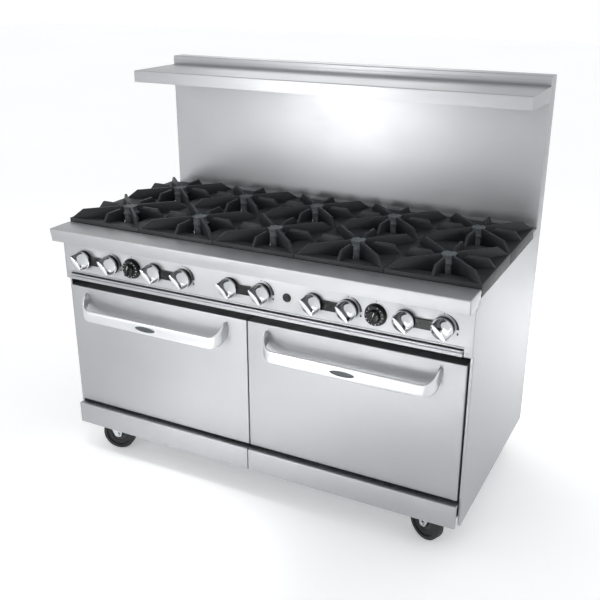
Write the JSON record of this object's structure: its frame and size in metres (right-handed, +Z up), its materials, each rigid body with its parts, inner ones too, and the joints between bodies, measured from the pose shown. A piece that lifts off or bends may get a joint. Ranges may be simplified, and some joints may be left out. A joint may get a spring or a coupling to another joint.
{
  "type": "commercial gas range",
  "caption": "Free-standing stainless restaurant gas range: open burners under cast grates, two drop-door ovens, control panel, back riser with high shelf, swivel casters.",
  "frame": {"origin": "middle of the overall footprint, on the floor", "axes": "+X to the cook's right along the front, +Y from the cook towards the back riser, +Z up"},
  "size_m": [1.524, 0.864, 1.435],
  "materials": {
    "stainless": "satin, brushed",
    "chrome": "polished plating",
    "cast_iron": "rough matte casting",
    "black_enamel": "satin black enamel",
    "black_plastic": "satin black plastic",
    "oven_enamel": "glossy dark enamel",
    "galvanised": "dull zinc-coated sheet",
    "zinc": "bright zinc plating",
    "rubber": "matte moulded rubber",
    "wire": "bright plated wire"
  },
  "bodies": {
    "range": {"side_panel_left": "stainless", "side_panel_right": "stainless", "kick_plate_left": "stainless", "kick_plate_right": "stainless", "control_panel": "stainless", "front_ledge": "stainless", "back_riser": "stainless", "high_shelf": "stainless", "back_panel": "galvanised", "base_frame": "galvanised", "gas_manifold": "black_enamel", "burner_frame": "black_enamel", "oven_liner_left": "oven_enamel", "oven_liner_right": "oven_enamel", "burners_1": "cast_iron", "burners_2": "cast_iron", "burners_3": "cast_iron", "burners_4": "cast_iron", "burners_5": "cast_iron", "grate_front_1": "cast_iron", "grate_front_2": "cast_iron", "grate_front_3": "cast_iron", "grate_front_4": "cast_iron", "grate_front_5": "cast_iron", "grate_rear_1": "cast_iron", "grate_rear_2": "cast_iron", "grate_rear_3": "cast_iron", "grate_rear_4": "cast_iron", "grate_rear_5": "cast_iron"},
    "burner_knob_1": {"burner_knob_1": "chrome"},
    "burner_knob_2": {"burner_knob_2": "chrome"},
    "burner_knob_3": {"burner_knob_3": "chrome"},
    "burner_knob_4": {"burner_knob_4": "chrome"},
    "burner_knob_5": {"burner_knob_5": "chrome"},
    "burner_knob_6": {"burner_knob_6": "chrome"},
    "burner_knob_7": {"burner_knob_7": "chrome"},
    "burner_knob_8": {"burner_knob_8": "chrome"},
    "burner_knob_9": {"burner_knob_9": "chrome"},
    "burner_knob_10": {"burner_knob_10": "chrome"},
    "thermostat_knob_left": {"thermostat_knob_left": "black_plastic"},
    "thermostat_knob_right": {"thermostat_knob_right": "black_plastic"},
    "oven_door_left": {"door_left_panel": "stainless", "door_left_liner": "oven_enamel", "door_left_handle": "stainless"},
    "oven_rack_left": {"oven_rack_left": "wire"},
    "oven_door_right": {"door_right_panel": "stainless", "door_right_liner": "oven_enamel", "door_right_handle": "stainless"},
    "oven_rack_right": {"oven_rack_right": "wire"},
    "crumb_tray": {"crumb_tray": "galvanised"},
    "caster_front_left_fork": {"caster_front_left_fork": "zinc"},
    "caster_front_left_wheel": {"caster_front_left_wheel": "rubber"},
    "caster_front_left_brake": {"caster_front_left_brake": "zinc"},
    "caster_front_right_fork": {"caster_front_right_fork": "zinc"},
    "caster_front_right_wheel": {"caster_front_right_wheel": "rubber"},
    "caster_front_right_brake": {"caster_front_right_brake": "zinc"},
    "caster_rear_left_fork": {"caster_rear_left_fork": "zinc"},
    "caster_rear_left_wheel": {"caster_rear_left_wheel": "rubber"},
    "caster_rear_right_fork": {"caster_rear_right_fork": "zinc"},
    "caster_rear_right_wheel": {"caster_rear_right_wheel": "rubber"}
  },
  "joints": [
    {"name": "burner_knob_1_turn", "type": "hinge", "parent": "range", "child": "burner_knob_1", "pos_m": [-0.6696, -0.37, 0.795], "axis": [0, -1, 0], "range_deg": [0, 90]},
    {"name": "burner_knob_2_turn", "type": "hinge", "parent": "range", "child": "burner_knob_2", "pos_m": [-0.5496, -0.37, 0.795], "axis": [0, -1, 0], "range_deg": [0, 90]},
    {"name": "burner_knob_3_turn", "type": "hinge", "parent": "range", "child": "burner_knob_3", "pos_m": [-0.3648, -0.37, 0.795], "axis": [0, -1, 0], "range_deg": [0, 90]},
    {"name": "burner_knob_4_turn", "type": "hinge", "parent": "range", "child": "burner_knob_4", "pos_m": [-0.2448, -0.37, 0.795], "axis": [0, -1, 0], "range_deg": [0, 90]},
    {"name": "burner_knob_5_turn", "type": "hinge", "parent": "range", "child": "burner_knob_5", "pos_m": [-0.06, -0.37, 0.795], "axis": [0, -1, 0], "range_deg": [0, 90]},
    {"name": "burner_knob_6_turn", "type": "hinge", "parent": "range", "child": "burner_knob_6", "pos_m": [0.06, -0.37, 0.795], "axis": [0, -1, 0], "range_deg": [0, 90]},
    {"name": "burner_knob_7_turn", "type": "hinge", "parent": "range", "child": "burner_knob_7", "pos_m": [0.2448, -0.37, 0.795], "axis": [0, -1, 0], "range_deg": [0, 90]},
    {"name": "burner_knob_8_turn", "type": "hinge", "parent": "range", "child": "burner_knob_8", "pos_m": [0.3648, -0.37, 0.795], "axis": [0, -1, 0], "range_deg": [0, 90]},
    {"name": "burner_knob_9_turn", "type": "hinge", "parent": "range", "child": "burner_knob_9", "pos_m": [0.5496, -0.37, 0.795], "axis": [0, -1, 0], "range_deg": [0, 90]},
    {"name": "burner_knob_10_turn", "type": "hinge", "parent": "range", "child": "burner_knob_10", "pos_m": [0.6696, -0.37, 0.795], "axis": [0, -1, 0], "range_deg": [0, 90]},
    {"name": "thermostat_knob_left_turn", "type": "hinge", "parent": "range", "child": "thermostat_knob_left", "pos_m": [-0.4572, -0.37, 0.795], "axis": [0, 1, 0], "range_deg": [0, 300]},
    {"name": "thermostat_knob_right_turn", "type": "hinge", "parent": "range", "child": "thermostat_knob_right", "pos_m": [0.4572, -0.37, 0.795], "axis": [0, 1, 0], "range_deg": [0, 300]},
    {"name": "oven_door_left_hinge", "type": "hinge", "parent": "range", "child": "oven_door_left", "pos_m": [-0.37475, -0.35, 0.228], "axis": [1, 0, 0], "range_deg": [0, 88], "stiffness_Nm_per_rad": 8, "springref_deg": -8.59},
    {"name": "oven_rack_left_slide", "type": "slide", "parent": "range", "child": "oven_rack_left", "axis": [0, -1, 0], "range_m": [0, 0.012]},
    {"name": "oven_door_right_hinge", "type": "hinge", "parent": "range", "child": "oven_door_right", "pos_m": [0.37475, -0.35, 0.228], "axis": [1, 0, 0], "range_deg": [0, 88], "stiffness_Nm_per_rad": 8, "springref_deg": -8.59},
    {"name": "oven_rack_right_slide", "type": "slide", "parent": "range", "child": "oven_rack_right", "axis": [0, -1, 0], "range_m": [0, 0.012]},
    {"name": "crumb_tray_slide", "type": "slide", "parent": "range", "child": "crumb_tray", "axis": [0, -1, 0], "range_m": [0, 0.45]},
    {"name": "caster_front_left_swivel", "type": "hinge", "parent": "range", "child": "caster_front_left_fork", "pos_m": [-0.66, -0.309, 0.14], "axis": [0, 0, 1], "continuous": true},
    {"name": "caster_front_left_spin", "type": "hinge", "parent": "caster_front_left_fork", "child": "caster_front_left_wheel", "pos_m": [-0.63295, -0.30175, 0.0635], "axis": [-0.2588, 0.9659, 0], "continuous": true},
    {"name": "caster_front_left_brake_press", "type": "hinge", "parent": "caster_front_left_fork", "child": "caster_front_left_brake", "pos_m": [-0.6117, -0.29606, 0.113], "axis": [-0.2588, 0.9659, 0], "range_deg": [0, 15]},
    {"name": "caster_front_right_swivel", "type": "hinge", "parent": "range", "child": "caster_front_right_fork", "pos_m": [0.66, -0.309, 0.14], "axis": [0, 0, 1], "continuous": true},
    {"name": "caster_front_right_spin", "type": "hinge", "parent": "caster_front_right_fork", "child": "caster_front_right_wheel", "pos_m": [0.63462, -0.29717, 0.0635], "axis": [-0.4226, -0.9063, 0], "continuous": true},
    {"name": "caster_front_right_brake_press", "type": "hinge", "parent": "caster_front_right_fork", "child": "caster_front_right_brake", "pos_m": [0.61468, -0.28787, 0.113], "axis": [-0.4226, -0.9063, 0], "range_deg": [0, 15]},
    {"name": "caster_rear_left_swivel", "type": "hinge", "parent": "range", "child": "caster_rear_left_fork", "pos_m": [-0.66, 0.337, 0.14], "axis": [0, 0, 1], "continuous": true},
    {"name": "caster_rear_left_spin", "type": "hinge", "parent": "caster_rear_left_fork", "child": "caster_rear_left_wheel", "pos_m": [-0.66, 0.365, 0.0635], "axis": [-1, 0, 0], "continuous": true},
    {"name": "caster_rear_right_swivel", "type": "hinge", "parent": "range", "child": "caster_rear_right_fork", "pos_m": [0.66, 0.337, 0.14], "axis": [0, 0, 1], "continuous": true},
    {"name": "caster_rear_right_spin", "type": "hinge", "parent": "caster_rear_right_fork", "child": "caster_rear_right_wheel", "pos_m": [0.66, 0.365, 0.0635], "axis": [-1, 0, 0], "continuous": true}
  ]
}
